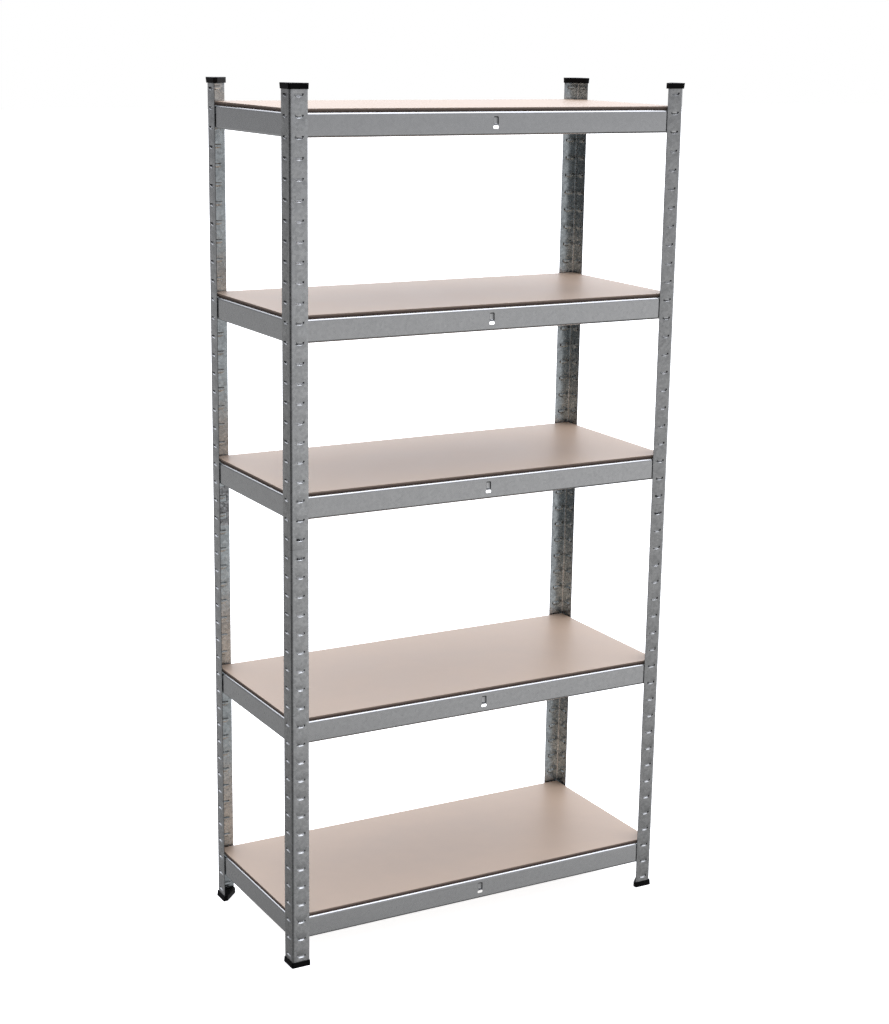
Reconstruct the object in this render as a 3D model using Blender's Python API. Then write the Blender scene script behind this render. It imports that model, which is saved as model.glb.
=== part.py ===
"""Boltless steel shelving: five loose boards on hooked beams between four two-piece angle posts.

Frame: metres, +Z up, long side along X, front towards -Y. The origin is on the floor, at the
centre of the footprint. Every post, beam, joiner and cap is drawn once, in its own simple frame,
and each copy is a separate object turned and moved into its corner or side.
"""
import math

import bmesh
import bpy
from mathutils import Matrix, Vector

# Overall size, over the outer faces of the posts.
RACK_LENGTH = 0.900
RACK_DEPTH = 0.400
RACK_HEIGHT = 1.800

# Clearance kept between neighbouring pieces.
FIT_GAP = 0.0003

# Posts: equal angle sections in two halves, with one column of slots in each flange.
SLOT_PITCH = 0.039
SLOTS_PER_HALF = 23
POST_FLANGE = 0.0380
POST_GAUGE = 0.0009
POST_BEND_RADIUS = 0.0045
HALF_HEIGHT = SLOT_PITCH * SLOTS_PER_HALF

# Slots: a pocket pressed inwards, with a sloping floor, closed sides and an open top.
SLOT_OFFSET = 0.0197
SLOT_TOP_WIDTH = 0.0200
SLOT_ROOT_WIDTH = 0.0180
SLOT_HEIGHT = 0.0078
SLOT_MIDDLE = 0.0040
POCKET_DEPTH = 0.0030
POCKET_ROOT_WIDTH = 0.0140
POCKET_TOP_WIDTH = 0.0154
POCKET_STEP = 0.0035
POCKET_RISE = 0.0070

# Beams: a folded strip with a rounded top ledge and a rounded lower lip.
BEAM_HEIGHT = 0.047
BEAM_GAUGE = 0.0007
BEAM_BEND_RADIUS = 0.0050
BEAM_LEDGE = 0.014
BEAM_LIP = 0.008
BEAM_END_INSET = 0.0026
BEAM_PLATE_LENGTH = 0.031
BEAM_PLATE_TRIM = 0.0008
BEAM_ABOVE_SLOT = -0.0010
BEAM_SETBACK = 0.0019

# Hooks: a lug that drops into a post's pocket, with a notch or a window around it.
HOOK_SEAT = 0.0036
HOOK_WIDTH = 0.0110
HOOK_NOTCH_WIDTH = 0.024
HOOK_NOTCH_RISE = 0.0080
HOOK_WINDOW_DROP = 0.006

# Tie-bar catch in the middle of each long beam: a window with a shallow pressing above it.
CATCH_WINDOW_WIDTH = 0.0124
CATCH_WINDOW_LOW = 0.0128
CATCH_WINDOW_HIGH = 0.0190
PRESSING_WIDTH = 0.0112
PRESSING_LOW = 0.0208
PRESSING_HIGH = 0.0372
PRESSING_SIDE = 0.0016
PRESSING_DEPTH = 0.0018

# Which slot each shelf's lower hooks sit in, counted from the floor, bottom shelf first.
SHELF_SLOTS = (1, 12, 24, 33, 43)

# Boards lie loose on the ledges, between the posts' pockets.
BOARD_THICKNESS = 0.007
BOARD_INSET = 0.0055

# Joiners: inner angle plates behind the seam between the two halves of a post.
JOINER_HEIGHT = 0.086
JOINER_FLANGE = 0.0365
JOINER_GAUGE = 0.0009

# Feet and top caps: one plastic moulding, with a pocket for the end of the post.
CAP_FLOOR = 0.0030
CAP_HEIGHT = 0.0115
CAP_RIM_WALL = 0.0018
CAP_FLARE = 0.0028
CAP_END_WALL = 0.0010
CAP_DIAGONAL_START = 0.0070
CAP_CORNER_RADIUS = 0.0040

# Straight pieces that each rounded bend is drawn with.
POST_BEND_SEGMENTS = 3
BEAM_BEND_SEGMENTS = 2

# Each corner: its name, the side of the centre that it is on, and the turn of its angle section.
CORNERS = (
    ("front_left", -1, -1, 0.0),
    ("front_right", 1, -1, math.pi / 2),
    ("back_right", 1, 1, math.pi),
    ("back_left", -1, 1, -math.pi / 2),
)


def clear_scene():
    """Remove every object, so that the model starts from an empty scene."""
    for old in list(bpy.data.objects):
        bpy.data.objects.remove(old, do_unlink=True)


def make_material(name, colour, roughness, metallic):
    """A Principled material with one plain colour."""
    material = bpy.data.materials.new(name)
    material.use_nodes = True
    shader = material.node_tree.nodes["Principled BSDF"]
    shader.inputs["Base Color"].default_value = (*colour, 1.0)
    shader.inputs["Roughness"].default_value = roughness
    shader.inputs["Metallic"].default_value = metallic
    return material


def add_object(name, mesh, material, matrix):
    """Link an object at a place; copies of one piece share its mesh."""
    placed = bpy.data.objects.new(name, mesh)
    bpy.context.scene.collection.objects.link(placed)
    if not mesh.materials:
        mesh.materials.append(material)
    placed.matrix_world = matrix
    return placed


def add_gauge(sheet, gauge):
    """Give a sheet its thickness, inwards from its outer surface."""
    solidify = sheet.modifiers.new("sheet_gauge", "SOLIDIFY")
    solidify.thickness = gauge
    solidify.offset = -1.0
    solidify.use_even_offset = True


def fill_face(bm, loops, normal):
    """Fill a flat outline, with any further loops as holes, facing the given way."""
    edges = []
    for loop in loops:
        verts = [bm.verts.new(point) for point in loop]
        edges += [bm.edges.new(pair) for pair in zip(verts, verts[1:] + verts[:1])]
    filled = bmesh.ops.triangle_fill(bm, use_beauty=True, edges=edges, normal=normal)
    for face in filled["geom"]:
        if isinstance(face, bmesh.types.BMFace):
            face.normal_update()
            if face.normal.dot(normal) < 0.0:
                face.normal_flip()


def mesh_from(bm, name):
    """Weld the faces of a bmesh where they meet and turn it into a mesh."""
    bmesh.ops.remove_doubles(bm, verts=bm.verts, dist=1e-6)
    mesh = bpy.data.meshes.new(name)
    bm.to_mesh(mesh)
    bm.free()
    return mesh


def rectangle(low_x, high_x, low_z, high_z):
    """Corners of an upright rectangle, anticlockwise as (along, height)."""
    return [(low_x, low_z), (high_x, low_z), (high_x, high_z), (low_x, high_z)]


def arc(centre_x, centre_y, radius, start, end, segments):
    """Points on an arc, both ends included."""
    points = []
    for step in range(segments + 1):
        angle = start + (end - start) * step / segments
        points.append((centre_x + radius * math.cos(angle), centre_y + radius * math.sin(angle)))
    return points


def flange_point(side, along, inward, height):
    """A point of an angle section: side 0 runs along X and faces -Y, side 1 swaps X and Y."""
    return Vector((along, inward, height)) if side == 0 else Vector((inward, along, height))


def pressing_faces(rim, floor, depth, sides):
    """Side walls and floor of a pressing as (across, inwards, height), from its two outlines."""
    outer = [(x, 0.0, z) for x, z in rim]
    inner = [(x, depth, z) for x, z in floor]
    faces = [inner]
    for i in sides:
        j = (i + 1) % len(rim)
        faces.append([outer[i], outer[j], inner[j]])
        faces.append([outer[i], inner[j], inner[i]])
    return faces


def trapezium(middle, low_width, high_width, low, high):
    """An upright outline with level top and bottom, anticlockwise as (along, height)."""
    return [
        (middle - low_width / 2, low),
        (middle + low_width / 2, low),
        (middle + high_width / 2, high),
        (middle - high_width / 2, high),
    ]


def angle_sheet(bm, flange, radius, inset, low, high, holes, roots):
    """Outer surface of an angle section with the same holes and pockets in both flanges."""
    for side, normal in ((0, Vector((0, -1, 0))), (1, Vector((-1, 0, 0)))):
        outline = rectangle(inset + radius, flange, low, high)
        loops = [[flange_point(side, x, inset, z) for x, z in loop] for loop in [outline] + holes]
        fill_face(bm, loops, normal)
        for root in roots:
            rim = slot_outline(root)
            step = root + POCKET_STEP
            tip = root + POCKET_RISE
            floor = trapezium(SLOT_OFFSET, POCKET_ROOT_WIDTH, POCKET_TOP_WIDTH, step, tip)
            for face in pressing_faces(rim, floor, POCKET_DEPTH, (0, 1, 3)):
                fill_face(bm, [[flange_point(side, x, inset + y, z) for x, y, z in face]], normal)
    centre = inset + radius
    bend = arc(centre, centre, radius, math.pi, 1.5 * math.pi, POST_BEND_SEGMENTS)
    for (x0, y0), (x1, y1) in zip(bend, bend[1:]):
        corners = [Vector((x0, y0, low)), Vector((x1, y1, low))]
        corners += [Vector((x1, y1, high)), Vector((x0, y0, high))]
        fill_face(bm, [corners], Vector((-1, -1, 0)))


def slot_root(slot):
    """Height of the lower edge of a slot above the floor."""
    return CAP_FLOOR + SLOT_PITCH * (slot + 0.5) - SLOT_MIDDLE


def slot_outline(root):
    """The opening of a slot in the flange, a little wider towards the top."""
    return trapezium(SLOT_OFFSET, SLOT_ROOT_WIDTH, SLOT_TOP_WIDTH, root, root + SLOT_HEIGHT)


def hook_edge(centre, seat):
    """A hook with a notch on each side of it, left to right along a lower edge."""
    notch = HOOK_NOTCH_WIDTH / 2
    hook = HOOK_WIDTH / 2
    top = seat - HOOK_SEAT + HOOK_NOTCH_RISE
    return [
        (centre - notch, top),
        (centre - hook, top),
        (centre - hook, seat),
        (centre + hook, seat),
        (centre + hook, top),
        (centre + notch, top),
    ]


def hook_window(centre, seat):
    """A window whose upper edge carries a hook."""
    low = seat - HOOK_SEAT - HOOK_WINDOW_DROP
    notch = HOOK_NOTCH_WIDTH / 2
    return [(centre + notch, low), (centre - notch, low)] + hook_edge(centre, seat)


def post_half_mesh(name, first_slot):
    """One half of a post, with its own stretch of slots."""
    low = CAP_FLOOR + SLOT_PITCH * first_slot + FIT_GAP / 2
    high = low + HALF_HEIGHT - FIT_GAP
    roots = [slot_root(slot) for slot in range(first_slot, first_slot + SLOTS_PER_HALF)]
    holes = [slot_outline(root) for root in roots]
    bm = bmesh.new()
    angle_sheet(bm, POST_FLANGE, POST_BEND_RADIUS, 0.0, low, high, holes, roots)
    return mesh_from(bm, name)


def joiner_mesh():
    """The plate behind a seam, hung on the pockets just below and just above it."""
    inset = POST_GAUGE + FIT_GAP
    seam = CAP_FLOOR + HALF_HEIGHT
    low = seam - JOINER_HEIGHT / 2
    windows = []
    for slot in (SLOTS_PER_HALF - 1, SLOTS_PER_HALF):
        windows.append(hook_window(SLOT_OFFSET, slot_root(slot) + HOOK_SEAT))
    bm = bmesh.new()
    radius = POST_BEND_RADIUS - inset
    angle_sheet(bm, JOINER_FLANGE, radius, inset, low, low + JOINER_HEIGHT, windows, [])
    return mesh_from(bm, "post_joiner")


def lower_seat():
    """Height of a beam's lower hooks above its underside."""
    return HOOK_SEAT - SLOT_MIDDLE - BEAM_ABOVE_SLOT


def add_pressing(bm, middle, facing):
    """The shallow pressing of the tie-bar catch; returns its outline in the web."""
    low = PRESSING_LOW
    high = PRESSING_HIGH
    narrow = PRESSING_WIDTH - 2 * PRESSING_SIDE
    rim = trapezium(middle, PRESSING_WIDTH, PRESSING_WIDTH, low, high)
    floor = trapezium(middle, narrow, narrow, low + PRESSING_SIDE, high - PRESSING_SIDE)
    for face in pressing_faces(rim, floor, PRESSING_DEPTH, (0, 1, 2, 3)):
        fill_face(bm, [[Vector(point) for point in face]], facing)
    return rim


def beam_web(length):
    """Outline of a beam's web: between two flat hook plates, it ends where the bends start."""
    plate = BEAM_PLATE_LENGTH
    low = BEAM_BEND_RADIUS
    high = BEAM_HEIGHT - BEAM_BEND_RADIUS
    top = BEAM_HEIGHT - BEAM_PLATE_TRIM
    seat = lower_seat()
    from_end = SLOT_OFFSET - BEAM_END_INSET
    outline = [(0.0, seat)] + hook_edge(from_end, seat)
    outline += [(plate, seat), (plate, low), (length - plate, low), (length - plate, seat)]
    outline += hook_edge(length - from_end, seat) + [(length, seat), (length, top)]
    outline += [(length - plate, top), (length - plate, high), (plate, high), (plate, top), (0.0, top)]
    return outline


def beam_mesh(name, length, with_catch):
    """A beam along X, its web facing -Y, with a hook plate behind each post."""
    radius = BEAM_BEND_RADIUS
    plate = BEAM_PLATE_LENGTH
    from_end = SLOT_OFFSET - BEAM_END_INSET
    upper_seat = lower_seat() + SLOT_PITCH
    holes = [hook_window(from_end, upper_seat), hook_window(length - from_end, upper_seat)]
    facing = Vector((0, -1, 0))
    bm = bmesh.new()
    if with_catch:
        middle = length / 2
        width = CATCH_WINDOW_WIDTH
        holes.append(trapezium(middle, width, width, CATCH_WINDOW_LOW, CATCH_WINDOW_HIGH))
        holes.append(add_pressing(bm, middle, facing))
    fill_face(bm, [[Vector((x, 0.0, z)) for x, z in loop] for loop in [beam_web(length)] + holes], facing)
    top_bend = arc(radius, BEAM_HEIGHT - radius, radius, math.pi, math.pi / 2, BEAM_BEND_SEGMENTS)
    low_bend = arc(radius, radius, radius, math.pi, 1.5 * math.pi, BEAM_BEND_SEGMENTS)
    folds = (
        (top_bend + [(BEAM_LEDGE, BEAM_HEIGHT)], Vector((0, -1, 1))),
        (low_bend + [(BEAM_LIP, 0.0)], Vector((0, -1, -1))),
    )
    for profile, normal in folds:
        for (y0, z0), (y1, z1) in zip(profile, profile[1:]):
            corners = [Vector((plate, y0, z0)), Vector((length - plate, y0, z0))]
            corners += [Vector((length - plate, y1, z1)), Vector((plate, y1, z1))]
            fill_face(bm, [corners], normal)
    return mesh_from(bm, name)


def board_mesh():
    """A plain board, its origin at the middle of its underside."""
    half_length = RACK_LENGTH / 2 - BOARD_INSET
    half_depth = RACK_DEPTH / 2 - BOARD_INSET
    bm = bmesh.new()
    scale = Matrix.Diagonal((2 * half_length, 2 * half_depth, BOARD_THICKNESS, 1.0))
    lift = Matrix.Translation((0.0, 0.0, BOARD_THICKNESS / 2))
    bmesh.ops.create_cube(bm, size=1.0, matrix=lift @ scale)
    return mesh_from(bm, "shelf_board")


def cap_outline(flare):
    """Plan of a cap around the post's angle: rounded outer corner, diagonal inner edge."""
    end = POST_FLANGE + CAP_END_WALL
    centre = CAP_CORNER_RADIUS - flare
    corner = arc(centre, centre, CAP_CORNER_RADIUS, math.pi, 1.5 * math.pi, POST_BEND_SEGMENTS)
    return corner + [
        (end, -flare),
        (end, CAP_DIAGONAL_START),
        (CAP_DIAGONAL_START, end),
        (-flare, end),
    ]


def prism(name, low_outline, high_outline, low, high):
    """A solid between two matching outlines at two heights."""
    bm = bmesh.new()
    bottom = [bm.verts.new((x, y, low)) for x, y in low_outline]
    top = [bm.verts.new((x, y, high)) for x, y in high_outline]
    bm.faces.new(bottom[::-1])
    bm.faces.new(top)
    count = len(bottom)
    for i in range(count):
        j = (i + 1) % count
        bm.faces.new((bottom[i], bottom[j], top[j], top[i]))
    return mesh_from(bm, name)


def cap_mesh():
    """The cap standing on its floor: a flared block less the pocket for the post."""
    outer = -FIT_GAP
    inner = POST_GAUGE + FIT_GAP
    end = POST_FLANGE + FIT_GAP
    radius = POST_BEND_RADIUS
    outer_bend = arc(radius, radius, radius - outer, math.pi, 1.5 * math.pi, POST_BEND_SEGMENTS)
    inner_bend = arc(radius, radius, radius - inner, 1.5 * math.pi, math.pi, POST_BEND_SEGMENTS)
    outline = outer_bend + [(end, outer), (end, inner)] + inner_bend + [(inner, end), (outer, end)]
    block = prism("cap_block", cap_outline(CAP_FLARE), cap_outline(CAP_RIM_WALL), 0.0, CAP_HEIGHT)
    body = bpy.data.objects.new("cap_body", block)
    pocket = prism("cap_pocket", outline, outline, CAP_FLOOR, CAP_HEIGHT + CAP_FLOOR)
    cutter = bpy.data.objects.new("cap_pocket", pocket)
    for piece in (body, cutter):
        bpy.context.scene.collection.objects.link(piece)
    cut = body.modifiers.new("post_pocket", "BOOLEAN")
    cut.operation = "DIFFERENCE"
    cut.solver = "EXACT"
    cut.object = cutter
    depsgraph = bpy.context.evaluated_depsgraph_get()
    finished = bpy.data.meshes.new_from_object(body.evaluated_get(depsgraph))
    for piece in (body, cutter):
        bpy.data.objects.remove(piece, do_unlink=True)
    finished.name = "post_cap"
    return finished


def corner_matrix(side_x, side_y, turn):
    """Place the post frame, whose outer corner is its origin, at a corner of the rack."""
    corner = Matrix.Translation((side_x * RACK_LENGTH / 2, side_y * RACK_DEPTH / 2, 0.0))
    return corner @ Matrix.Rotation(turn, 4, "Z")


def upside_down(matrix, mirror_height):
    """Turn a corner piece over about the diagonal of its angle, at the given height."""
    diagonal = Matrix.Rotation(math.pi, 4, Vector((1.0, 1.0, 0.0)))
    return matrix @ Matrix.Translation((0.0, 0.0, mirror_height)) @ diagonal


def add_corners(steel, joiner_steel, plastic):
    """Two post halves, a joiner, a foot and a top cap at each corner."""
    lower = post_half_mesh("post_lower", 0)
    upper = post_half_mesh("post_upper", SLOTS_PER_HALF)
    joiner = joiner_mesh()
    cap = cap_mesh()
    for corner, side_x, side_y, turn in CORNERS:
        place = corner_matrix(side_x, side_y, turn)
        add_gauge(add_object("post_lower_" + corner, lower, steel, place), POST_GAUGE)
        add_gauge(add_object("post_upper_" + corner, upper, steel, place), POST_GAUGE)
        add_gauge(add_object("post_joiner_" + corner, joiner, joiner_steel, place), JOINER_GAUGE)
        add_object("foot_" + corner, cap, plastic, place)
        add_object("top_cap_" + corner, cap, plastic, upside_down(place, RACK_HEIGHT))


def beam_height(slot):
    """Height of the underside of a beam whose lower hooks sit in the given slot."""
    return slot_root(slot) + SLOT_MIDDLE + BEAM_ABOVE_SLOT


def add_shelves(beam_steel, wood):
    """Four beams and a loose board on each level."""
    long_length = RACK_LENGTH - 2 * BEAM_END_INSET
    short_length = RACK_DEPTH - 2 * BEAM_END_INSET
    long_beam = beam_mesh("long_beam", long_length, True)
    short_beam = beam_mesh("short_beam", short_length, False)
    board = board_mesh()
    sides = (
        ("long_beam_front", long_beam, long_length, RACK_DEPTH, 0.0),
        ("short_beam_right", short_beam, short_length, RACK_LENGTH, math.pi / 2),
        ("long_beam_back", long_beam, long_length, RACK_DEPTH, math.pi),
        ("short_beam_left", short_beam, short_length, RACK_LENGTH, -math.pi / 2),
    )
    for level, slot in enumerate(SHELF_SLOTS, start=1):
        height = beam_height(slot)
        for name, mesh, length, across, turn in sides:
            offset = Matrix.Translation((-length / 2, BEAM_SETBACK - across / 2, height))
            place = Matrix.Rotation(turn, 4, "Z") @ offset
            add_gauge(add_object(f"{name}_{level}", mesh, beam_steel, place), BEAM_GAUGE)
        rest = Matrix.Translation((0.0, 0.0, height + BEAM_HEIGHT + FIT_GAP))
        add_object(f"shelf_board_{level}", board, wood, rest)


def build_shelving():
    """Model the whole rack."""
    clear_scene()
    steel = make_material("galvanised_post", (0.36, 0.37, 0.39), 0.38, 0.85)
    joiner_steel = make_material("galvanised_joiner", (0.28, 0.29, 0.31), 0.42, 0.85)
    beam_steel = make_material("galvanised_beam", (0.38, 0.39, 0.42), 0.36, 0.85)
    plastic = make_material("black_plastic", (0.012, 0.012, 0.013), 0.45, 0.0)
    wood = make_material("fibreboard", (0.62, 0.53, 0.48), 0.55, 0.0)
    add_corners(steel, joiner_steel, plastic)
    add_shelves(beam_steel, wood)


build_shelving()
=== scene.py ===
"""Looks for the boltless rack: galvanised sheet steel, pinkish fibreboard and black plastic.

Each CAD node is replaced by a finer piece in the same place: posts with pressed pockets, beams
with round bends, boards with eased edges, and caps with soft corners. Lengths are in metres, in
the frame of the CAD model: origin on the floor at the centre of the footprint, front towards -Y.
"""
import math

import bmesh
import bpy
from mathutils import Matrix, Vector


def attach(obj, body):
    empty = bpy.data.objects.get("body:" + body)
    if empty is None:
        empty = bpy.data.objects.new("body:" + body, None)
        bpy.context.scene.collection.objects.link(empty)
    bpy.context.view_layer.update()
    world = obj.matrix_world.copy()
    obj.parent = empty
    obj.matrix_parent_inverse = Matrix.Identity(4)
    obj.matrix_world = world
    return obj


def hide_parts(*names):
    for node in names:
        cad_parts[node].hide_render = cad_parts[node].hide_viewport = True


# Overall size, over the outer faces of the posts.
RACK_LENGTH = 0.900
RACK_DEPTH = 0.400
RACK_HEIGHT = 1.800
FIT_GAP = 0.0003

# Posts.
SLOT_PITCH = 0.039
SLOTS_PER_HALF = 23
POST_FLANGE = 0.0380
POST_GAUGE = 0.0009
POST_BEND_RADIUS = 0.0045
HALF_HEIGHT = SLOT_PITCH * SLOTS_PER_HALF

# Slots: a smile-shaped pocket pressed inwards, open at the top.
SLOT_OFFSET = 0.0197
SLOT_MIDDLE = 0.0040
SLOT_HALF = 0.0098
SLOT_ROOT_HALF = 0.0074
SLOT_HEIGHT = 0.0072
SLOT_RISE = 0.0022
SLOT_RISE_POWER = 2.2
POCKET_DEPTH = 0.0030
POCKET_STEP = 0.0034
POCKET_LIP = 0.0015
POCKET_FLAT = 0.82
POCKET_ROWS = 8
POCKET_SIDE_COLUMNS = (0.25, 0.50, 0.68, 0.82, 0.865, 0.91, 0.955, 1.0)
POCKET_COLUMNS = [-share for share in reversed(POCKET_SIDE_COLUMNS)] + [0.0] + list(POCKET_SIDE_COLUMNS)
# Pocket walls past this share of the half-width and above this height take painted shade.
PAINTED_SHADE_WALL_FROM = 0.88
PAINTED_SHADE_WALL_RISE = 0.0036

# Beams.
BEAM_HEIGHT = 0.047
BEAM_GAUGE = 0.0007
BEAM_BEND_RADIUS = 0.0050
BEAM_LEDGE = 0.014
BEAM_LIP = 0.008
BEAM_END_INSET = 0.0026
BEAM_PLATE_LENGTH = 0.031
BEAM_PLATE_TRIM = 0.0008
BEAM_ABOVE_SLOT = -0.0010
BEAM_SETBACK = 0.0019

# Hooks.
HOOK_SEAT = 0.0036
HOOK_HALF = 0.0055
HOOK_NOTCH_HALF = 0.0120
HOOK_NOTCH_RISE = 0.0080
HOOK_WINDOW_DROP = 0.006

# Tie-bar catch: a window with a shallow pressing above it.
CATCH_WINDOW = (-0.0062, 0.0062, 0.0128, 0.0190)
CATCH_WINDOW_CORNER = 0.0022
PRESSING_RIM = (-0.0056, 0.0056, 0.0208, 0.0372)
PRESSING_FLOOR = (-0.0040, 0.0040, 0.0224, 0.0356)
PRESSING_RIM_CORNER = 0.0024
PRESSING_FLOOR_CORNER = 0.0016
PRESSING_DEPTH = 0.0018

# Shelves.
SHELF_SLOTS = (1, 12, 24, 33, 43)
BOARD_THICKNESS = 0.007
BOARD_INSET = 0.0055
BOARD_EASE = 0.0006

# Joiners.
JOINER_HEIGHT = 0.086
JOINER_FLANGE = 0.0365
JOINER_GAUGE = 0.0009

# Feet and top caps.
CAP_FLOOR = 0.0030
CAP_HEIGHT = 0.0115
CAP_RIM_WALL = 0.0018
CAP_FLARE = 0.0028
CAP_END_WALL = 0.0010
CAP_DIAGONAL_START = 0.0070
CAP_CORNER_RADIUS = 0.0040
CAP_EASE = 0.0006

BEND_SEGMENTS = 8
CORNER_SEGMENTS = 4

# Places of the materials on a sheet-metal piece: plain zinc; on the posts, a darker copy of it that
# paints shade on the side flange; and dark painted shade for the walls of pressings and the cut rims.
# The same three repeat for its inner faces.
BRIGHT = 0
PAINTED_SIDE_SHADE = 1
PAINTED_SHADE = 2

CORNERS = (
    ("front_left", -1, -1, 0.0),
    ("front_right", 1, -1, math.pi / 2),
    ("back_right", 1, 1, math.pi),
    ("back_left", -1, 1, -math.pi / 2),
)

# Zinc finishes, and darker copies of the post zinc that paint shade on its side flange and inner faces:
# dark tone, light tone, contrast, roughness, waviness.
ZINC_TONES_AND_PAINTED_SHADE = {
    "zinc_post": ((0.59, 0.60, 0.605), (0.77, 0.78, 0.785), 1.0, 0.28, 0.22),
    # Painted shade: a darker copy of the post zinc for the side flange.
    "zinc_post_side_painted_shade": ((0.445, 0.450, 0.450), (0.590, 0.595, 0.595), 1.0, 0.28, 0.22),
    # Painted shade: the inner faces get their own darker copy of the post zinc.
    "zinc_post_inside_painted_shade": ((0.435, 0.470, 0.485), (0.82, 0.885, 0.91), 0.7, 0.26, 0.12),
    "zinc_joiner": ((0.20, 0.205, 0.21), (0.70, 0.72, 0.74), 1.2, 0.34, 0.6),
    "zinc_beam": ((0.66, 0.665, 0.67), (0.75, 0.755, 0.76), 0.6, 0.22, 0.02),
}
CRYSTAL_SCALE = 190.0
CLOUD_SCALE = 16.0
GRAIN_SCALE = 650.0
WAVE_SCALE = 120.0
WAVE_HEIGHT = 0.0006

# Board and plastic colours.
BOARD_TONES = ((0.480, 0.354, 0.258), (0.530, 0.395, 0.291))
BOARD_FLECK = (0.40, 0.31, 0.26)
# Board edge: its own brown at the top, with painted shade darkening it towards the underside.
BOARD_EDGE_TONE_AND_SHADE = ((0.098, 0.069, 0.055), (0.450, 0.345, 0.278))
# Painted shade for the walls of pressings and along the sheet's cut rims.
PAINTED_SHADE_TONES = ((0.030, 0.030, 0.033), (0.075, 0.076, 0.080))
PLASTIC_TONES = ((0.0020, 0.0020, 0.0022), (0.0040, 0.0040, 0.0044))

# Light, as brightness of the studio around the rack. Each band is the stretch of a direction's
# component over which one light gives way to the next.
LIGHT_AROUND = 0.37
LIGHT_TO_RIGHT = 0.36
LIGHT_TO_BACK = 0.08
LIGHT_LEAST = 0.05
LIGHT_HORIZON_SHARE = 0.65
LIGHT_ABOVE = 2.35
LIGHT_FRONT_ABOVE = 1.3
LIGHT_LEFT_SHARE = 0.55
LIGHT_BELOW = 0.13
COLOUR_ABOVE = (0.965, 0.985, 1.06)
COLOUR_BELOW = (1.0, 1.0, 1.01)
HORIZON_BAND = (-0.12, 0.06)
ABOVE_BAND = (0.28, 0.72)
FRONT_BAND = (-0.75, -0.20)
LEFT_BAND = (-0.50, -0.15)
BELOW_BAND = (-0.30, -0.62)
COLOUR_BAND = (-0.15, 0.30)
GLOW_BAND = (0.72, 0.95)
GLOW = 1.15
GLOW_DIRECTION = (0.46, 0.86, 0.22)

# Floor.
FLOOR_HALF = 40.0
FLOOR_DROP = 0.0005
FLOOR_GLOW = 0.88
FLOOR_TONES = ((0.93, 0.93, 0.93), (0.95, 0.95, 0.95))

# Camera.
CAMERA_PLACE = (-2.0003, -3.5702, 1.8994)
CAMERA_YAW = 0.5123
CAMERA_PITCH = -0.2429
CAMERA_ROLL = 0.0154
CAMERA_LENS = 78.75

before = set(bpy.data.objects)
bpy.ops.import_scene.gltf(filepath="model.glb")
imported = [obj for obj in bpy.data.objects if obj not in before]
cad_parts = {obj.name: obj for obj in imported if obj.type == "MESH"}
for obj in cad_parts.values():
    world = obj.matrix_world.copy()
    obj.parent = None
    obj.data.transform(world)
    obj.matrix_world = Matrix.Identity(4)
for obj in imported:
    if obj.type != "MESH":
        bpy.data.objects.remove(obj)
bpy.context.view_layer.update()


# ---------------------------------------------------------------- shapes

def arc(centre_x, centre_y, radius, start, end, segments):
    """Points on an arc, both ends included."""
    points = []
    for step in range(segments + 1):
        angle = start + (end - start) * step / segments
        points.append((centre_x + radius * math.cos(angle), centre_y + radius * math.sin(angle)))
    return points


def rectangle(low_x, high_x, low_z, high_z):
    """Corners of an upright rectangle, anticlockwise."""
    return [(low_x, low_z), (high_x, low_z), (high_x, high_z), (low_x, high_z)]


def rounded_rectangle(low_x, high_x, low_z, high_z, radius):
    """A rectangle with round corners, anticlockwise."""
    quarter = math.pi / 2
    points = []
    centres = (
        (low_x + radius, low_z + radius, 2 * quarter),
        (high_x - radius, low_z + radius, 3 * quarter),
        (high_x - radius, high_z - radius, 4 * quarter),
        (low_x + radius, high_z - radius, 5 * quarter),
    )
    for x, z, start in centres:
        points += arc(x, z, radius, start, start + quarter, CORNER_SEGMENTS)
    return points


def fill_face(bm, loops, normal, material=BRIGHT):
    """Fill a flat outline, with any further loops as holes, facing the given way."""
    edges = []
    for loop in loops:
        verts = [bm.verts.new(point) for point in loop]
        edges += [bm.edges.new(pair) for pair in zip(verts, verts[1:] + verts[:1])]
    filled = bmesh.ops.triangle_fill(bm, use_beauty=True, edges=edges, normal=normal)
    for face in filled["geom"]:
        if isinstance(face, bmesh.types.BMFace):
            face.material_index = material
            face.normal_update()
            if face.normal.dot(normal) < 0.0:
                face.normal_flip()


def quad(bm, corners, normal, material=BRIGHT):
    """One four-sided face that faces roughly the given way."""
    face = bm.faces.new([bm.verts.new(corner) for corner in corners])
    face.material_index = material
    face.normal_update()
    if face.normal.dot(normal) < 0.0:
        face.normal_flip()


def finish_mesh(bm, name):
    """Weld the faces of a bmesh where they meet and turn it into a smooth-shaded mesh."""
    bmesh.ops.remove_doubles(bm, verts=bm.verts, dist=1e-6)
    mesh = bpy.data.meshes.new(name)
    bm.to_mesh(mesh)
    bm.free()
    mesh.shade_smooth()
    return mesh


def smooth_step(t):
    """An S-curve from 0 to 1."""
    t = min(max(t, 0.0), 1.0)
    return t * t * (3.0 - 2.0 * t)


def slot_edge(rise):
    """Half the width of a slot at a height above its lowest point."""
    widening = math.sin(0.5 * math.pi * min(1.0, 2.0 * rise / SLOT_HEIGHT))
    return SLOT_ROOT_HALF + (SLOT_HALF - SLOT_ROOT_HALF) * widening


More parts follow.
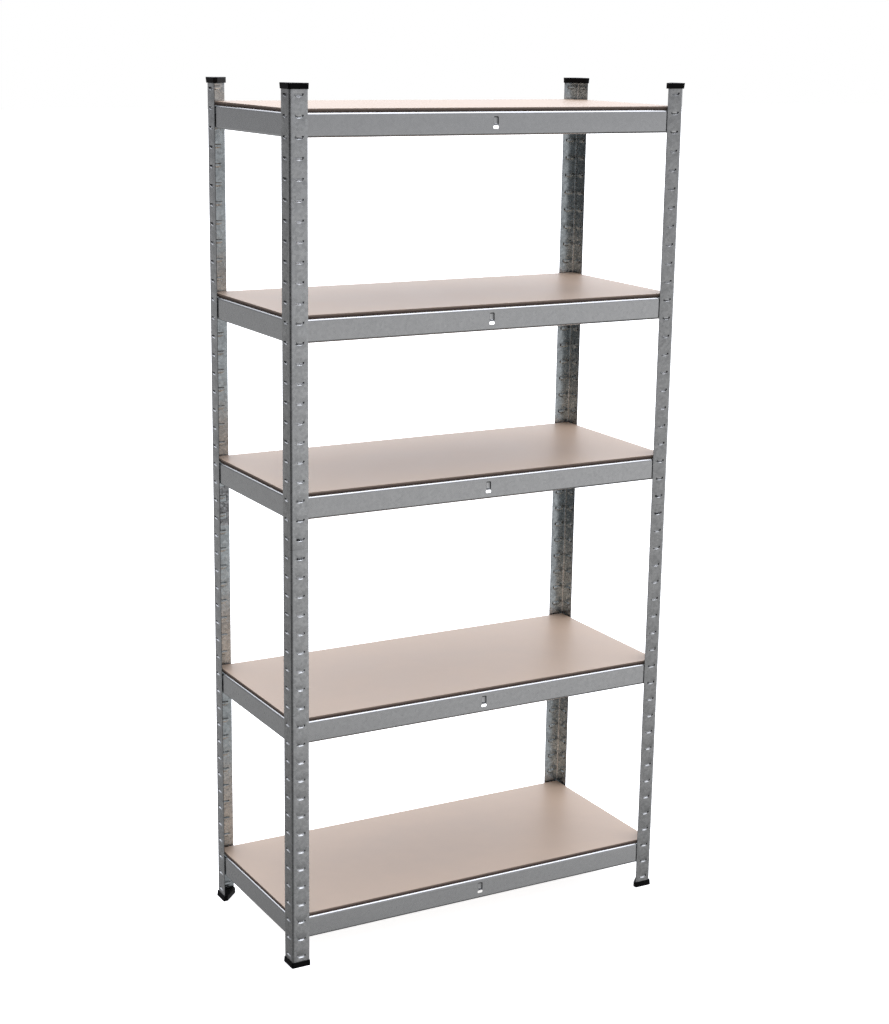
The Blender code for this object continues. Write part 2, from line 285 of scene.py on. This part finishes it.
def pocket_rows():
    """The pocket as rows of (across, inwards, height), from its curved root to the cut above it."""
    rows = []
    for row in range(POCKET_ROWS + 1):
        t = row / POCKET_ROWS
        rise = SLOT_HEIGHT * t
        half = slot_edge(rise)
        points = []
        for share in POCKET_COLUMNS:
            wall = smooth_step((1.0 - abs(share)) / (1.0 - POCKET_FLAT))
            depth = POCKET_DEPTH * smooth_step(rise / POCKET_STEP) * wall
            lift = SLOT_RISE * abs(share) ** SLOT_RISE_POWER * (1.0 - t)
            points.append((half * share, depth, rise + lift))
        rows.append(points)
    return rows


def slot_loop(rows):
    """Outline of a slot in the flange, anticlockwise, through the rim points of the pocket."""
    root = [(x, z) for x, y, z in rows[0]]
    right = [(row[-1][0], row[-1][2]) for row in rows[1:]]
    left = [(row[0][0], row[0][2]) for row in rows[:0:-1]]
    return root + right + left


def pocket_faces(rows):
    """Corner points of the pocket's faces, each with whether it is part of a steep side wall that takes
    painted shade.
    """
    faces = []
    for lower, upper in zip(rows, rows[1:]):
        for i in range(len(POCKET_COLUMNS) - 1):
            middle = abs(POCKET_COLUMNS[i] + POCKET_COLUMNS[i + 1]) / 2
            in_painted_shade = middle > PAINTED_SHADE_WALL_FROM and lower[i][2] > PAINTED_SHADE_WALL_RISE
            corners = (lower[i], lower[i + 1], upper[i + 1], upper[i])
            faces.append((corners, in_painted_shade))
    top = rows[-1][1:-1]
    for (x0, y0, z0), (x1, y1, z1) in zip(top, top[1:]):
        lip = z0 + POCKET_LIP
        corners = ((x0, y0, z0), (x1, y1, z1), (x1, y1, lip), (x0, y0, lip))
        faces.append((corners, False))
    return faces


def flange_point(side, along, inward, height):
    """A point of an angle section: side 0 runs along X and faces -Y, side 1 swaps X and Y."""
    return Vector((along, inward, height)) if side == 0 else Vector((inward, along, height))


def angle_bend(bm, radius, inset, low, high):
    """The round bend between the two flanges of an angle section."""
    centre = inset + radius
    bend = arc(centre, centre, radius, math.pi, 1.5 * math.pi, BEND_SEGMENTS)
    for (x0, y0), (x1, y1) in zip(bend, bend[1:]):
        corners = [(x0, y0, low), (x1, y1, low), (x1, y1, high), (x0, y0, high)]
        quad(bm, corners, Vector((-1, -1, 0)))


def slot_root(slot):
    """Height of the lowest point of a slot above the floor."""
    return CAP_FLOOR + SLOT_PITCH * (slot + 0.5) - SLOT_MIDDLE


def post_half_mesh(name, first_slot):
    """Outer surface of one half of a post, with the pockets of its own stretch of slots."""
    low = CAP_FLOOR + SLOT_PITCH * first_slot + FIT_GAP / 2
    high = low + HALF_HEIGHT - FIT_GAP
    bm = bmesh.new()
    rows = pocket_rows()
    loop = slot_loop(rows)
    pocket = pocket_faces(rows)
    # The side flange takes a darker copy of the zinc: painted shade.
    flanges = ((0, Vector((0, -1, 0)), BRIGHT), (1, Vector((-1, 0, 0)), PAINTED_SIDE_SHADE))
    for side, normal, sheet in flanges:
        for slot in range(first_slot, first_slot + SLOTS_PER_HALF):
            cell_low = max(low, CAP_FLOOR + SLOT_PITCH * slot)
            cell_high = min(high, CAP_FLOOR + SLOT_PITCH * (slot + 1))
            root = slot_root(slot)
            outline = rectangle(POST_BEND_RADIUS, POST_FLANGE, cell_low, cell_high)
            hole = [(SLOT_OFFSET + x, root + z) for x, z in loop]
            loops = [[flange_point(side, x, 0.0, z) for x, z in ring] for ring in (outline, hole)]
            fill_face(bm, loops, normal, sheet)
            # Steep pocket walls take painted shade.
            for ring, in_painted_shade in pocket:
                corners = [flange_point(side, SLOT_OFFSET + x, y, root + z) for x, y, z in ring]
                quad(bm, corners, normal, PAINTED_SHADE if in_painted_shade else sheet)
    cells = range(first_slot + 1, first_slot + SLOTS_PER_HALF)
    heights = [low] + [CAP_FLOOR + SLOT_PITCH * cell for cell in cells] + [high]
    for z0, z1 in zip(heights, heights[1:]):
        angle_bend(bm, POST_BEND_RADIUS, 0.0, z0, z1)
    return finish_mesh(bm, name)


def joiner_mesh():
    """Outer surface of the plate behind a seam, with windows for the two nearest pockets."""
    inset = POST_GAUGE + FIT_GAP
    low = CAP_FLOOR + HALF_HEIGHT - JOINER_HEIGHT / 2
    high = low + JOINER_HEIGHT
    radius = POST_BEND_RADIUS - inset
    bm = bmesh.new()
    for side, normal in ((0, Vector((0, -1, 0))), (1, Vector((-1, 0, 0)))):
        loops = [rectangle(inset + radius, JOINER_FLANGE, low, high)]
        for slot in (SLOTS_PER_HALF - 1, SLOTS_PER_HALF):
            loops.append(hook_window(SLOT_OFFSET, slot_root(slot) + HOOK_SEAT))
        placed = [[flange_point(side, x, inset, z) for x, z in ring] for ring in loops]
        fill_face(bm, placed, normal)
    angle_bend(bm, radius, inset, low, high)
    return finish_mesh(bm, "joiner_sheet")


def hook_edge(centre, seat):
    """A hook with a notch on each side of it, left to right along a lower edge."""
    top = seat - HOOK_SEAT + HOOK_NOTCH_RISE
    return [
        (centre - HOOK_NOTCH_HALF, top),
        (centre - HOOK_HALF, top),
        (centre - HOOK_HALF, seat),
        (centre + HOOK_HALF, seat),
        (centre + HOOK_HALF, top),
        (centre + HOOK_NOTCH_HALF, top),
    ]


def hook_window(centre, seat):
    """A window whose upper edge carries a hook."""
    low = seat - HOOK_SEAT - HOOK_WINDOW_DROP
    sill = [(centre + HOOK_NOTCH_HALF, low), (centre - HOOK_NOTCH_HALF, low)]
    return sill + hook_edge(centre, seat)


def pressing_loop(limits, corner, middle):
    """Outline of the catch's pressing at one depth."""
    low_x, high_x, low_z, high_z = limits
    return rounded_rectangle(middle + low_x, middle + high_x, low_z, high_z, corner)


def add_catch(bm, middle, facing):
    """The pressing of the tie-bar catch; returns the outlines of it and of its window."""
    rim = pressing_loop(PRESSING_RIM, PRESSING_RIM_CORNER, middle)
    floor = pressing_loop(PRESSING_FLOOR, PRESSING_FLOOR_CORNER, middle)
    # The walls of the pressing take painted shade.
    count = len(rim)
    for i in range(count):
        j = (i + 1) % count
        corners = [(x, 0.0, z) for x, z in (rim[i], rim[j])]
        corners += [(x, PRESSING_DEPTH, z) for x, z in (floor[j], floor[i])]
        quad(bm, corners, facing, PAINTED_SHADE)
    fill_face(bm, [[Vector((x, PRESSING_DEPTH, z)) for x, z in floor]], facing)
    return [rim, pressing_loop(CATCH_WINDOW, CATCH_WINDOW_CORNER, middle)]


def lower_seat():
    """Height of a beam's lower hooks above its underside."""
    return HOOK_SEAT - SLOT_MIDDLE - BEAM_ABOVE_SLOT


def beam_web(length):
    """Outline of a beam's web: between two flat hook plates, it ends where the bends start."""
    plate = BEAM_PLATE_LENGTH
    low = BEAM_BEND_RADIUS
    high = BEAM_HEIGHT - BEAM_BEND_RADIUS
    top = BEAM_HEIGHT - BEAM_PLATE_TRIM
    seat = lower_seat()
    from_end = SLOT_OFFSET - BEAM_END_INSET
    far = length - plate
    outline = [(0.0, seat)] + hook_edge(from_end, seat)
    outline += [(plate, seat), (plate, low), (far, low), (far, seat)]
    outline += hook_edge(length - from_end, seat) + [(length, seat), (length, top)]
    outline += [(far, top), (far, high), (plate, high), (plate, top), (0.0, top)]
    return outline


def beam_mesh(name, length, with_catch):
    """Outer surface of a beam along X, its web facing -Y, with round bends above and below."""
    radius = BEAM_BEND_RADIUS
    plate = BEAM_PLATE_LENGTH
    far = length - plate
    from_end = SLOT_OFFSET - BEAM_END_INSET
    upper_seat = lower_seat() + SLOT_PITCH
    holes = [hook_window(from_end, upper_seat), hook_window(length - from_end, upper_seat)]
    facing = Vector((0, -1, 0))
    bm = bmesh.new()
    if with_catch:
        holes += add_catch(bm, length / 2, facing)
    loops = [beam_web(length)] + holes
    fill_face(bm, [[Vector((x, 0.0, z)) for x, z in loop] for loop in loops], facing)
    top_bend = arc(radius, BEAM_HEIGHT - radius, radius, math.pi, math.pi / 2, BEND_SEGMENTS)
    low_bend = arc(radius, radius, radius, math.pi, 1.5 * math.pi, BEND_SEGMENTS)
    folds = (
        (top_bend + [(BEAM_LEDGE, BEAM_HEIGHT)], Vector((0, -1, 1))),
        (low_bend + [(BEAM_LIP, 0.0)], Vector((0, -1, -1))),
    )
    for profile, normal in folds:
        for (y0, z0), (y1, z1) in zip(profile, profile[1:]):
            corners = [(plate, y0, z0), (far, y0, z0), (far, y1, z1), (plate, y1, z1)]
            quad(bm, corners, normal)
    return finish_mesh(bm, name)


def board_mesh():
    """A board with eased edges; its four sides carry the second material."""
    half_length = RACK_LENGTH / 2 - BOARD_INSET
    half_depth = RACK_DEPTH / 2 - BOARD_INSET
    bm = bmesh.new()
    scale = Matrix.Diagonal((2 * half_length, 2 * half_depth, BOARD_THICKNESS, 1.0))
    lift = Matrix.Translation((0.0, 0.0, BOARD_THICKNESS / 2))
    bmesh.ops.create_cube(bm, size=1.0, matrix=lift @ scale)
    bmesh.ops.bevel(bm, geom=list(bm.edges), offset=BOARD_EASE, segments=2, profile=0.5, affect="EDGES")
    for face in bm.faces:
        face.normal_update()
        if abs(face.normal.z) < 0.5:
            face.material_index = 1
    return finish_mesh(bm, "board_solid")


def cap_outline(flare):
    """Plan of a cap around the post's angle: rounded outer corner, diagonal inner edge."""
    end = POST_FLANGE + CAP_END_WALL
    centre = CAP_CORNER_RADIUS - flare
    corner = arc(centre, centre, CAP_CORNER_RADIUS, math.pi, 1.5 * math.pi, BEND_SEGMENTS)
    return corner + [
        (end, -flare),
        (end, CAP_DIAGONAL_START),
        (CAP_DIAGONAL_START, end),
        (-flare, end),
    ]


def prism(name, low_outline, high_outline, low, high):
    """A solid between two matching outlines at two heights."""
    bm = bmesh.new()
    bottom = [bm.verts.new((x, y, low)) for x, y in low_outline]
    top = [bm.verts.new((x, y, high)) for x, y in high_outline]
    bm.faces.new(bottom[::-1])
    bm.faces.new(top)
    count = len(bottom)
    for i in range(count):
        j = (i + 1) % count
        bm.faces.new((bottom[i], bottom[j], top[j], top[i]))
    return finish_mesh(bm, name)


def cap_mesh():
    """The cap standing on its floor: a flared block less the pocket for the post."""
    outer = -FIT_GAP
    inner = POST_GAUGE + FIT_GAP
    end = POST_FLANGE + FIT_GAP
    radius = POST_BEND_RADIUS
    outer_bend = arc(radius, radius, radius - outer, math.pi, 1.5 * math.pi, BEND_SEGMENTS)
    inner_bend = arc(radius, radius, radius - inner, 1.5 * math.pi, math.pi, BEND_SEGMENTS)
    outline = outer_bend + [(end, outer), (end, inner)] + inner_bend + [(inner, end), (outer, end)]
    block = prism("cap_block", cap_outline(CAP_FLARE), cap_outline(CAP_RIM_WALL), 0.0, CAP_HEIGHT)
    body = bpy.data.objects.new("cap_body", block)
    pocket = prism("cap_pocket", outline, outline, CAP_FLOOR, CAP_HEIGHT + CAP_FLOOR)
    cutter = bpy.data.objects.new("cap_cutter", pocket)
    for piece in (body, cutter):
        bpy.context.scene.collection.objects.link(piece)
    cut = body.modifiers.new("post_pocket", "BOOLEAN")
    cut.operation = "DIFFERENCE"
    cut.solver = "EXACT"
    cut.object = cutter
    ease = body.modifiers.new("eased_edges", "BEVEL")
    ease.width = CAP_EASE
    ease.segments = 2
    ease.limit_method = "ANGLE"
    depsgraph = bpy.context.evaluated_depsgraph_get()
    finished = bpy.data.meshes.new_from_object(body.evaluated_get(depsgraph))
    for piece in (body, cutter):
        bpy.data.objects.remove(piece, do_unlink=True)
    finished.shade_smooth()
    return finished


# ---------------------------------------------------------------- materials

def new_material(name):
    """A material with its node tree, shader and a texture-coordinate node."""
    material = bpy.data.materials.new(name)
    material.use_nodes = True
    tree = material.node_tree
    shader = tree.nodes["Principled BSDF"]
    place = tree.nodes.new("ShaderNodeTexCoord").outputs["Object"]
    return material, tree, shader, place


def stretched(tree, place, scale):
    """The coordinates multiplied by a scale for each axis."""
    mapping = tree.nodes.new("ShaderNodeMapping")
    mapping.inputs["Scale"].default_value = scale
    tree.links.new(place, mapping.inputs["Vector"])
    return mapping.outputs["Vector"]


def noise(tree, place, scale, detail=4.0, roughness=0.55):
    """A noise value around one half."""
    node = tree.nodes.new("ShaderNodeTexNoise")
    node.inputs["Scale"].default_value = scale
    node.inputs["Detail"].default_value = detail
    node.inputs["Roughness"].default_value = roughness
    tree.links.new(place, node.inputs["Vector"])
    return node.outputs["Fac"]


def noisy(tree, place, scale, amount):
    """The coordinates shifted a little by noise, so that borders come out ragged."""
    node = tree.nodes.new("ShaderNodeTexNoise")
    node.inputs["Scale"].default_value = scale
    tree.links.new(place, node.inputs["Vector"])
    shift = tree.nodes.new("ShaderNodeVectorMath")
    shift.operation = "MULTIPLY_ADD"
    shift.inputs[1].default_value = (amount, amount, amount)
    tree.links.new(node.outputs["Color"], shift.inputs[0])
    tree.links.new(place, shift.inputs[2])
    return shift.outputs["Vector"]


def ramp(tree, value, low, high, out_low, out_high):
    """A value brought from one range to another, held at the ends."""
    node = tree.nodes.new("ShaderNodeMapRange")
    limits = (("From Min", low), ("From Max", high), ("To Min", out_low), ("To Max", out_high))
    for socket, number in limits:
        node.inputs[socket].default_value = number
    tree.links.new(value, node.inputs["Value"])
    return node.outputs["Result"]


def math_node(tree, operation, first, second):
    """A Math node on two sockets or numbers."""
    node = tree.nodes.new("ShaderNodeMath")
    node.operation = operation
    for socket, value in zip(node.inputs, (first, second)):
        if isinstance(value, (int, float)):
            socket.default_value = value
        else:
            tree.links.new(value, socket)
    return node.outputs["Value"]


def weighted_sum(tree, terms, constant):
    """A sum of sockets, each with its weight, and a constant."""
    total = constant
    for socket, weight in terms:
        total = math_node(tree, "ADD", math_node(tree, "MULTIPLY", socket, weight), total)
    return total


def blend_colours(tree, factor, first, second):
    """A colour between two others by a factor."""
    node = tree.nodes.new("ShaderNodeMix")
    node.data_type = "RGBA"
    tree.links.new(factor, node.inputs["Factor"])
    for socket, colour in ((node.inputs["A"], first), (node.inputs["B"], second)):
        if isinstance(colour, tuple):
            socket.default_value = (*colour, 1.0)
        else:
            tree.links.new(colour, socket)
    return node.outputs["Result"]


def add_bump(tree, shader, height, strength, distance):
    """A bump on the shader from a height value."""
    node = tree.nodes.new("ShaderNodeBump")
    node.inputs["Strength"].default_value = strength
    node.inputs["Distance"].default_value = distance
    tree.links.new(height, node.inputs["Height"])
    tree.links.new(node.outputs["Normal"], shader.inputs["Normal"])


def galvanised(name):
    """Zinc-coated steel: crystals of slightly different grey, soft clouds and gentle waves."""
    dark, light, contrast, roughness, waviness = ZINC_TONES_AND_PAINTED_SHADE[name]
    material, tree, shader, place = new_material(name)
    crystal = tree.nodes.new("ShaderNodeTexVoronoi")
    crystal.inputs["Scale"].default_value = CRYSTAL_SCALE
    tree.links.new(noisy(tree, place, 60.0, 0.006), crystal.inputs["Vector"])
    split = tree.nodes.new("ShaderNodeSeparateColor")
    tree.links.new(crystal.outputs["Color"], split.inputs["Color"])
    facet = split.outputs["Red"]
    clouds = noise(tree, place, CLOUD_SCALE, 5.0)
    grain = noise(tree, place, GRAIN_SCALE, 2.0)
    mix = weighted_sum(tree, ((facet, 0.45), (clouds, 0.40), (grain, 0.15)), 0.0)
    factor = ramp(tree, mix, 0.5 - 0.25 / contrast, 0.5 + 0.25 / contrast, 0.0, 1.0)
    tree.links.new(blend_colours(tree, factor, dark, light), shader.inputs["Base Color"])
    worn = weighted_sum(tree, ((grain, 0.5), (split.outputs["Green"], 0.5)), 0.0)
    rough = ramp(tree, worn, 0.3, 0.7, roughness - 0.06, roughness + 0.06)
    tree.links.new(rough, shader.inputs["Roughness"])
    shader.inputs["Metallic"].default_value = 1.0
    waves = noise(tree, place, WAVE_SCALE, 3.0)
    relief = weighted_sum(tree, ((waves, 1.0), (grain, 0.25), (facet, 0.2)), 0.0)
    add_bump(tree, shader, relief, waviness, WAVE_HEIGHT)
    return material


def painted_shade_metal(name):
    """Painted shade: a dull, dark material for the walls of small pressings and the sheet's cut rims.
    """
    material, tree, shader, place = new_material(name)
    streaks = noise(tree, stretched(tree, place, (1.0, 1.0, 0.2)), 1500.0, 3.0)
    shade = ramp(tree, streaks, 0.3, 0.7, 0.0, 1.0)
    colour = blend_colours(tree, shade, *PAINTED_SHADE_TONES)
    tree.links.new(colour, shader.inputs["Base Color"])
    shader.inputs["Roughness"].default_value = 0.75
    shader.inputs["Metallic"].default_value = 0.2
    add_bump(tree, shader, streaks, 0.2, 0.0002)
    return material


def fibreboard(name):
    """The smooth pressed face of the board: pinkish beige with faint fibres and clouds."""
    material, tree, shader, place = new_material(name)
    clouds = noise(tree, place, 9.0, 4.0)
    fibres = noise(tree, stretched(tree, place, (1.0, 3.0, 1.0)), 420.0, 3.0, 0.7)
    flecks = noise(tree, place, 1400.0, 1.0)
    cloud_part = math_node(tree, "MULTIPLY", clouds, 0.6)
    mix = math_node(tree, "ADD", cloud_part, math_node(tree, "MULTIPLY", fibres, 0.4))
    factor = ramp(tree, mix, 0.35, 0.65, 0.0, 1.0)
    base = blend_colours(tree, factor, *BOARD_TONES)
    dots = ramp(tree, flecks, 0.66, 0.80, 0.0, 0.35)
    tree.links.new(blend_colours(tree, dots, base, BOARD_FLECK), shader.inputs["Base Color"])
    tree.links.new(ramp(tree, mix, 0.3, 0.7, 0.40, 0.48), shader.inputs["Roughness"])
    shader.inputs["Specular IOR Level"].default_value = 0.8
    add_bump(tree, shader, fibres, 0.05, 0.0002)
    return material


def sawn_edge(name):
    """The side of the board: fibres lying along it, with painted shade darkening it towards the
    underside.
    """
    material, tree, shader, place = new_material(name)
    layers = noise(tree, stretched(tree, place, (0.25, 0.25, 3.0)), 700.0, 3.0, 0.7)
    whole = tree.nodes.new("ShaderNodeTexCoord").outputs["Generated"]
    split = tree.nodes.new("ShaderNodeSeparateXYZ")
    tree.links.new(whole, split.inputs["Vector"])
    height = weighted_sum(tree, ((split.outputs["Z"], 0.8), (layers, 0.4)), -0.10)
    factor = ramp(tree, height, 0.35, 0.95, 0.0, 1.0)
    colour = blend_colours(tree, factor, *BOARD_EDGE_TONE_AND_SHADE)
    tree.links.new(colour, shader.inputs["Base Color"])
    shader.inputs["Roughness"].default_value = 0.9
    add_bump(tree, shader, layers, 0.35, 0.0004)
    return material


def black_plastic(name):
    """Moulded black plastic with a fine spark-eroded grain."""
    material, tree, shader, place = new_material(name)
    grain = noise(tree, place, 1800.0, 2.0)
    clouds = noise(tree, place, 60.0, 2.0)
    factor = ramp(tree, clouds, 0.3, 0.7, 0.0, 1.0)
    colour = blend_colours(tree, factor, *PLASTIC_TONES)
    tree.links.new(colour, shader.inputs["Base Color"])
    tree.links.new(ramp(tree, grain, 0.3, 0.7, 0.42, 0.58), shader.inputs["Roughness"])
    shader.inputs["Specular IOR Level"].default_value = 0.12
    add_bump(tree, shader, grain, 0.25, 0.0002)
    return material


def floor_material():
    """A plain pale studio floor."""
    material, tree, shader, place = new_material("studio_floor")
    shade = ramp(tree, noise(tree, place, 2.0, 2.0), 0.3, 0.7, 0.0, 1.0)
    colour = blend_colours(tree, shade, *FLOOR_TONES)
    tree.links.new(colour, shader.inputs["Base Color"])
    shader.inputs["Roughness"].default_value = 0.9
    shader.inputs["Specular IOR Level"].default_value = 0.1
    shader.inputs["Emission Color"].default_value = (1.0, 1.0, 1.0, 1.0)
    shader.inputs["Emission Strength"].default_value = FLOOR_GLOW
    return material


# ---------------------------------------------------------------- pieces

def add_piece(node, body, mesh, materials, matrix, gauge=None):
    """A finished piece in the place of a CAD node, with its own copy of the mesh."""
    own = mesh.copy()
    own.name = node + "_mesh"
    own.transform(matrix)
    for material in materials:
        own.materials.append(material)
    piece = bpy.data.objects.new(node + "_look", own)
    bpy.context.scene.collection.objects.link(piece)
    if gauge:
        solidify = piece.modifiers.new("sheet_gauge", "SOLIDIFY")
        solidify.thickness = gauge
        solidify.offset = -1.0
        solidify.use_even_offset = True
        # Inner faces take the materials three places on; the cut rims take the last one, painted shade.
        solidify.material_offset = PAINTED_SHADE + 1
        solidify.material_offset_rim = len(materials) - 1
    weighted = piece.modifiers.new("flat_faces_stay_flat", "WEIGHTED_NORMAL")
    weighted.keep_sharp = True
    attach(piece, body)
    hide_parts(node)
    return piece


def corner_matrix(side_x, side_y, turn):
    """Place the post frame, whose outer corner is its origin, at a corner of the rack."""
    corner = Matrix.Translation((side_x * RACK_LENGTH / 2, side_y * RACK_DEPTH / 2, 0.0))
    return corner @ Matrix.Rotation(turn, 4, "Z")


def upside_down(matrix, mirror_height):
    """Turn a corner piece over about the diagonal of its angle, at the given height."""
    diagonal = Matrix.Rotation(math.pi, 4, Vector((1.0, 1.0, 0.0)))
    return matrix @ Matrix.Translation((0.0, 0.0, mirror_height)) @ diagonal


def add_corners():
    """Two post halves, a joiner, a foot and a top cap at each corner."""
    zinc = galvanised("zinc_post")
    # Painted shade: a darker copy of the post zinc for the side flanges.
    side_painted_shade_zinc = galvanised("zinc_post_side_painted_shade")
    # Painted shade: a copy of the post zinc toned for the inner faces.
    inner_painted_shade_zinc = galvanised("zinc_post_inside_painted_shade")
    joiner_zinc = galvanised("zinc_joiner")
    # Painted shade for the pocket walls and the cut rims.
    painted_shade = painted_shade_metal("zinc_painted_shade_post")
    plastic = black_plastic("plastic_black")
    post_steel = [zinc, side_painted_shade_zinc, painted_shade, inner_painted_shade_zinc, inner_painted_shade_zinc, painted_shade]
    joiner_steel = [joiner_zinc, joiner_zinc, painted_shade] * 2
    lower = post_half_mesh("post_lower_sheet", 0)
    upper = post_half_mesh("post_upper_sheet", SLOTS_PER_HALF)
    joiner = joiner_mesh()
    cap = cap_mesh()
    for corner, side_x, side_y, turn in CORNERS:
        place = corner_matrix(side_x, side_y, turn)
        for half, mesh in (("post_lower_", lower), ("post_upper_", upper)):
            node = half + corner
            add_piece(node, "frame", mesh, post_steel, place, POST_GAUGE)
        node = "post_joiner_" + corner
        add_piece(node, "frame", joiner, joiner_steel, place, JOINER_GAUGE)
        add_piece("foot_" + corner, "frame", cap, [plastic], place)
        turned = upside_down(place, RACK_HEIGHT)
        add_piece("top_cap_" + corner, "frame", cap, [plastic], turned)


def beam_height(slot):
    """Height of the underside of a beam whose lower hooks sit in the given slot."""
    return CAP_FLOOR + SLOT_PITCH * (slot + 0.5) + BEAM_ABOVE_SLOT


def add_shelves():
    """Four beams and a loose board on each level."""
    zinc = galvanised("zinc_beam")
    # Painted shade for the catch's pressing walls and the cut rims.
    painted_shade = painted_shade_metal("zinc_painted_shade_beam")
    beam_steel = [zinc, zinc, painted_shade] * 2
    wood = fibreboard("board_face")
    edge = sawn_edge("board_edge")
    long_length = RACK_LENGTH - 2 * BEAM_END_INSET
    short_length = RACK_DEPTH - 2 * BEAM_END_INSET
    long_beam = beam_mesh("long_beam_sheet", long_length, True)
    short_beam = beam_mesh("short_beam_sheet", short_length, False)
    board = board_mesh()
    sides = (
        ("long_beam_front", long_beam, long_length, RACK_DEPTH, 0.0),
        ("short_beam_right", short_beam, short_length, RACK_LENGTH, math.pi / 2),
        ("long_beam_back", long_beam, long_length, RACK_DEPTH, math.pi),
        ("short_beam_left", short_beam, short_length, RACK_LENGTH, -math.pi / 2),
    )
    for level, slot in enumerate(SHELF_SLOTS, start=1):
        height = beam_height(slot)
        for name, mesh, length, across, turn in sides:
            offset = Matrix.Translation((-length / 2, BEAM_SETBACK - across / 2, height))
            place = Matrix.Rotation(turn, 4, "Z") @ offset
            node = f"{name}_{level}"
            add_piece(node, "frame", mesh, beam_steel, place, BEAM_GAUGE)
        rest = Matrix.Translation((0.0, 0.0, height + BEAM_HEIGHT + FIT_GAP))
        add_piece(f"shelf_board_{level}", f"board_{level}", board, [wood, edge], rest)


# ---------------------------------------------------------------- stage

def add_floor():
    """A wide plain floor."""
    bm = bmesh.new()
    bmesh.ops.create_grid(bm, x_segments=1, y_segments=1, size=FLOOR_HALF)
    mesh = bpy.data.meshes.new("floor_mesh")
    bm.to_mesh(mesh)
    bm.free()
    mesh.materials.append(floor_material())
    floor = bpy.data.objects.new("studio_floor", mesh)
    floor.location.z = -FLOOR_DROP
    floor.visible_diffuse = False
    floor.visible_glossy = False
    bpy.context.scene.collection.objects.link(floor)


def studio_light(tree, split):
    """Brightness by direction: strong overhead and at the back right, dim at the front left."""
    terms = ((split.outputs["X"], LIGHT_TO_RIGHT), (split.outputs["Y"], LIGHT_TO_BACK))
    around = math_node(tree, "MAXIMUM", weighted_sum(tree, terms, LIGHT_AROUND), LIGHT_LEAST)
    horizon = ramp(tree, split.outputs["Z"], *HORIZON_BAND, 1.0, LIGHT_HORIZON_SHARE)
    around = math_node(tree, "MULTIPLY", around, horizon)
    towards = zip((split.outputs["X"], split.outputs["Y"], split.outputs["Z"]), GLOW_DIRECTION)
    glow = ramp(tree, weighted_sum(tree, towards, 0.0), *GLOW_BAND, 0.0, GLOW)
    around = math_node(tree, "ADD", around, glow)
    above = ramp(tree, split.outputs["Z"], *ABOVE_BAND, 0.0, 1.0)
    overhead = ramp(tree, split.outputs["Y"], *FRONT_BAND, LIGHT_FRONT_ABOVE, LIGHT_ABOVE)
    left_share = ramp(tree, split.outputs["X"], *LEFT_BAND, LIGHT_LEFT_SHARE, 1.0)
    overhead = math_node(tree, "MULTIPLY", overhead, left_share)
    below = ramp(tree, split.outputs["Z"], *BELOW_BAND, 0.0, 1.0)
    around_part = math_node(tree, "MULTIPLY", around, math_node(tree, "SUBTRACT", 1.0, above))
    upper = math_node(tree, "ADD", math_node(tree, "MULTIPLY", above, overhead), around_part)
    lower_part = math_node(tree, "MULTIPLY", upper, math_node(tree, "SUBTRACT", 1.0, below))
    return weighted_sum(tree, ((below, LIGHT_BELOW), (lower_part, 1.0)), 0.0)


def add_world():
    """Soft studio light on the rack, and plain white where the camera sees past it."""
    world = bpy.data.worlds.new("studio")
    world.use_nodes = True
    tree = world.node_tree
    for node in list(tree.nodes):
        tree.nodes.remove(node)
    output = tree.nodes.new("ShaderNodeOutputWorld")
    light = tree.nodes.new("ShaderNodeBackground")
    seen = tree.nodes.new("ShaderNodeBackground")
    direction = tree.nodes.new("ShaderNodeTexCoord").outputs["Generated"]
    split = tree.nodes.new("ShaderNodeSeparateXYZ")
    tree.links.new(direction, split.inputs["Vector"])
    tree.links.new(studio_light(tree, split), light.inputs["Strength"])
    height = ramp(tree, split.outputs["Z"], *COLOUR_BAND, 0.0, 1.0)
    tree.links.new(blend_colours(tree, height, COLOUR_BELOW, COLOUR_ABOVE), light.inputs["Color"])
    seen.inputs["Color"].default_value = (1.0, 1.0, 1.0, 1.0)
    path = tree.nodes.new("ShaderNodeLightPath")
    mix = tree.nodes.new("ShaderNodeMixShader")
    tree.links.new(path.outputs["Is Camera Ray"], mix.inputs["Fac"])
    tree.links.new(light.outputs["Background"], mix.inputs[1])
    tree.links.new(seen.outputs["Background"], mix.inputs[2])
    tree.links.new(mix.outputs["Shader"], output.inputs["Surface"])
    bpy.context.scene.world = world


def add_camera():
    """The camera, at the photograph's viewing angle."""
    level = Vector((math.sin(CAMERA_YAW), math.cos(CAMERA_YAW), 0.0))
    forward = level * math.cos(CAMERA_PITCH) + Vector((0.0, 0.0, math.sin(CAMERA_PITCH)))
    right = Vector((math.cos(CAMERA_YAW), -math.sin(CAMERA_YAW), 0.0))
    up = right.cross(forward)
    rolled_right = right * math.cos(CAMERA_ROLL) + up * math.sin(CAMERA_ROLL)
    rolled_up = up * math.cos(CAMERA_ROLL) - right * math.sin(CAMERA_ROLL)
    data = bpy.data.cameras.new("camera")
    data.sensor_fit = "HORIZONTAL"
    data.sensor_width = 36.0
    data.lens = CAMERA_LENS
    data.clip_end = 200.0
    camera = bpy.data.objects.new("camera", data)
    turn = Matrix((rolled_right, rolled_up, -forward)).transposed()
    camera.matrix_world = Matrix.Translation(CAMERA_PLACE) @ turn.to_4x4()
    bpy.context.scene.collection.objects.link(camera)
    bpy.context.scene.camera = camera


add_camera()
add_corners()
add_shelves()
add_floor()
add_world()
bpy.context.scene.view_settings.view_transform = "Standard"
